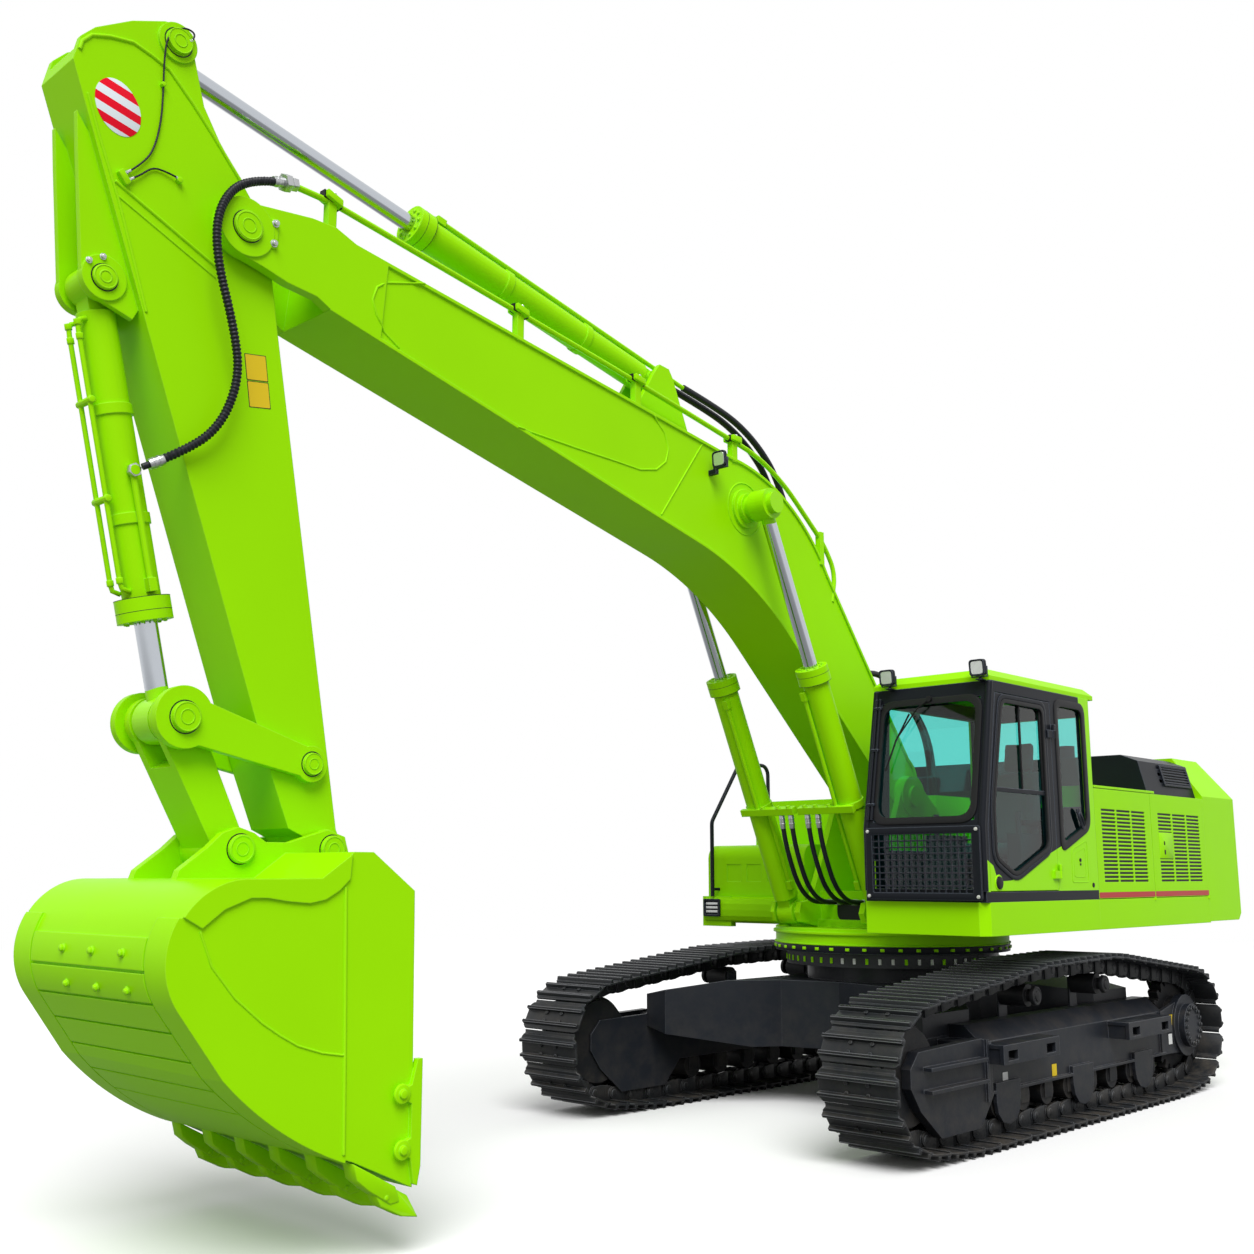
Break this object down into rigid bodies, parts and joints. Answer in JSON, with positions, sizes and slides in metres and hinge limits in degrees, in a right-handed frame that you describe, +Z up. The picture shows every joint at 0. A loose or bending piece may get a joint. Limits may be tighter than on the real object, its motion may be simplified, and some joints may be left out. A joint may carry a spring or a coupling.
{
  "type": "crawler excavator",
  "caption": "Tracked hydraulic excavator with slewing house, offset cab, cranked boom, arm, bucket linkage and toothed bucket.",
  "frame": {"origin": "on the ground, under the slewing axis, midway between the tracks", "axes": "+X ahead along the boom, +Y to the operator's left, +Z up"},
  "size_m": [11.2098, 3.411, 6.29],
  "materials": {
    "green_paint": "semi-gloss enamel",
    "black_paint": "satin enamel",
    "dark_steel": "worn black coated steel",
    "worn_steel": "scuffed bare steel",
    "chrome_rod": "polished",
    "tinted_glass": "tinted",
    "black_plastic": "matte",
    "seat_fabric": "woven",
    "hose_rubber": "matte rubber",
    "cast_block": "plain"
  },
  "bodies": {
    "undercarriage": {"car_body": "dark_steel", "slew_ring": "dark_steel", "track_frame_left": "dark_steel", "track_frame_right": "dark_steel", "track_left": "dark_steel", "track_right": "dark_steel", "idler_left": "dark_steel", "idler_right": "dark_steel", "sprocket_left": "dark_steel", "sprocket_right": "dark_steel", "rollers_left": "dark_steel", "rollers_right": "dark_steel"},
    "upper_structure": {"main_frame": "green_paint", "cab_platform": "green_paint", "side_skirts": "green_paint", "counterweight": "green_paint", "house_frame": "green_paint", "engine_hood": "black_paint", "engine_block": "cast_block", "cooler": "cast_block", "exhaust": "black_paint", "fuel_tank": "green_paint", "tool_box": "green_paint", "handrail": "black_paint", "cab_frame": "black_paint", "cab_roof": "black_paint", "cab_glass": "tinted_glass", "mesh_guard": "black_paint", "operator_seat": "seat_fabric", "cab_controls": "black_plastic", "work_lamps": "black_paint", "foot_hose_left": "hose_rubber", "foot_hose_right": "hose_rubber", "lift_hose_1": "hose_rubber", "lift_hose_2": "hose_rubber", "lift_hose_3": "hose_rubber", "lift_hose_4": "hose_rubber"},
    "cab_door": {"cab_door": "green_paint", "cab_door_glass": "tinted_glass"},
    "vent_door_front": {"vent_door_front": "green_paint"},
    "vent_door_rear": {"vent_door_rear": "green_paint"},
    "pump_door": {"pump_door": "green_paint"},
    "boom": {"boom": "green_paint", "arm_hose": "hose_rubber", "top_hose_left": "hose_rubber", "top_hose_right": "hose_rubber", "boom_lamp": "black_plastic"},
    "arm": {"arm": "green_paint"},
    "bucket": {"bucket": "green_paint", "bucket_teeth": "worn_steel"},
    "h_link": {"h_link": "green_paint"},
    "rocker_links": {"rocker_links": "green_paint"},
    "lift_barrel_left": {"lift_barrel_left": "green_paint"},
    "lift_barrel_right": {"lift_barrel_right": "green_paint"},
    "lift_rod_left": {"lift_rod_left": "chrome_rod"},
    "lift_rod_right": {"lift_rod_right": "chrome_rod"},
    "crowd_barrel": {"crowd_barrel": "green_paint"},
    "crowd_rod": {"crowd_rod": "chrome_rod"},
    "curl_barrel": {"curl_barrel": "green_paint"},
    "curl_rod": {"curl_rod": "chrome_rod"}
  },
  "joints": [
    {"name": "swing", "type": "hinge", "parent": "undercarriage", "child": "upper_structure", "pos_m": [0, 0, 1.21], "axis": [0, 0, 1], "continuous": true},
    {"name": "boom_lift", "type": "hinge", "parent": "upper_structure", "child": "boom", "pos_m": [0.12, 0, 2.46], "axis": [0, -1, 0], "range_deg": [-62, 28], "deforming": ["foot_hose_left", "foot_hose_right"]},
    {"name": "arm_crowd", "type": "hinge", "parent": "boom", "child": "arm", "pos_m": [6.5, 0, 5.25], "axis": [0, 1, 0], "range_deg": [-92, 22], "deforming": ["arm_hose"]},
    {"name": "bucket_curl", "type": "hinge", "parent": "arm", "child": "bucket", "pos_m": [5.785, 0, 1.953], "axis": [0, 1, 0], "range_deg": [-25, 125]},
    {"name": "lift_pivot_left", "type": "hinge", "parent": "upper_structure", "child": "lift_barrel_left", "pos_m": [0.8, 0.44, 1.52], "axis": [0, -1, 0], "range_deg": [-58.82, 26.57], "deforming": ["lift_hose_1", "lift_hose_2"]},
    {"name": "lift_stroke_left", "type": "slide", "parent": "lift_barrel_left", "child": "lift_rod_left", "axis": [0.4242, 0, 0.9056], "range_m": [-1.1388, 0.5146]},
    {"name": "lift_pivot_right", "type": "hinge", "parent": "upper_structure", "child": "lift_barrel_right", "pos_m": [0.8, -0.44, 1.52], "axis": [0, -1, 0], "range_deg": [-58.82, 26.57], "deforming": ["lift_hose_3", "lift_hose_4"]},
    {"name": "lift_stroke_right", "type": "slide", "parent": "lift_barrel_right", "child": "lift_rod_right", "axis": [0.4242, 0, 0.9056], "range_m": [-1.1388, 0.5146]},
    {"name": "crowd_pivot", "type": "hinge", "parent": "boom", "child": "crowd_barrel", "pos_m": [3, 0, 5.37], "axis": [0, 1, 0], "range_deg": [-0.46, 1.89], "deforming": ["top_hose_left", "top_hose_right"]},
    {"name": "crowd_stroke", "type": "slide", "parent": "crowd_barrel", "child": "crowd_rod", "axis": [0.9793, 0, 0.2026], "range_m": [-1.3377, 0.3203]},
    {"name": "curl_pivot", "type": "hinge", "parent": "arm", "child": "curl_barrel", "pos_m": [7.205, 0, 4.765], "axis": [0, 1, 0], "range_deg": [-0.52, 2.56]},
    {"name": "curl_stroke", "type": "slide", "parent": "curl_barrel", "child": "curl_rod", "axis": [-0.2369, 0, -0.9715], "range_m": [-0.2249, 1.1225]},
    {"name": "rocker_pivot", "type": "hinge", "parent": "arm", "child": "rocker_links", "pos_m": [5.925, 0, 2.4], "axis": [0, 1, 0], "range_deg": [-17.86, 89.26]},
    {"name": "hitch_pivot", "type": "hinge", "parent": "bucket", "child": "h_link", "pos_m": [6.335, 0, 1.948], "axis": [0, 1, 0], "range_deg": [-80.97, 16.2]},
    {"name": "cab_door_hinge", "type": "hinge", "parent": "upper_structure", "child": "cab_door", "pos_m": [0.31, 1.7, 2.4], "axis": [0, 0, 1], "range_deg": [0, 170]},
    {"name": "vent_door_front_hinge", "type": "hinge", "parent": "upper_structure", "child": "vent_door_front", "pos_m": [-1.418, 1.68, 2.05], "axis": [0, 0, 1], "range_deg": [0, 110]},
    {"name": "vent_door_rear_hinge", "type": "hinge", "parent": "upper_structure", "child": "vent_door_rear", "pos_m": [-2.587, 1.68, 2.05], "axis": [0, 0, 1], "range_deg": [0, 110]},
    {"name": "pump_door_hinge", "type": "hinge", "parent": "upper_structure", "child": "pump_door", "pos_m": [-2.587, -1.68, 2.05], "axis": [0, 0, -1], "range_deg": [0, 110]}
  ],
  "couplings": [
    {"joint": "lift_pivot_left", "follows": "boom_lift", "ratio": 0.93},
    {"joint": "lift_stroke_left", "follows": "boom_lift", "m_per_rad": 1.0313},
    {"joint": "lift_pivot_right", "follows": "boom_lift", "ratio": 0.93},
    {"joint": "lift_stroke_right", "follows": "boom_lift", "m_per_rad": 1.0313},
    {"joint": "crowd_pivot", "follows": "arm_crowd", "ratio": -0.02},
    {"joint": "crowd_stroke", "follows": "arm_crowd", "m_per_rad": 0.81646},
    {"joint": "curl_pivot", "follows": "bucket_curl", "ratio": 0.02},
    {"joint": "curl_stroke", "follows": "bucket_curl", "m_per_rad": 0.5042},
    {"joint": "rocker_pivot", "follows": "bucket_curl", "ratio": 0.7},
    {"joint": "hitch_pivot", "follows": "bucket_curl", "ratio": -0.635}
  ]
}
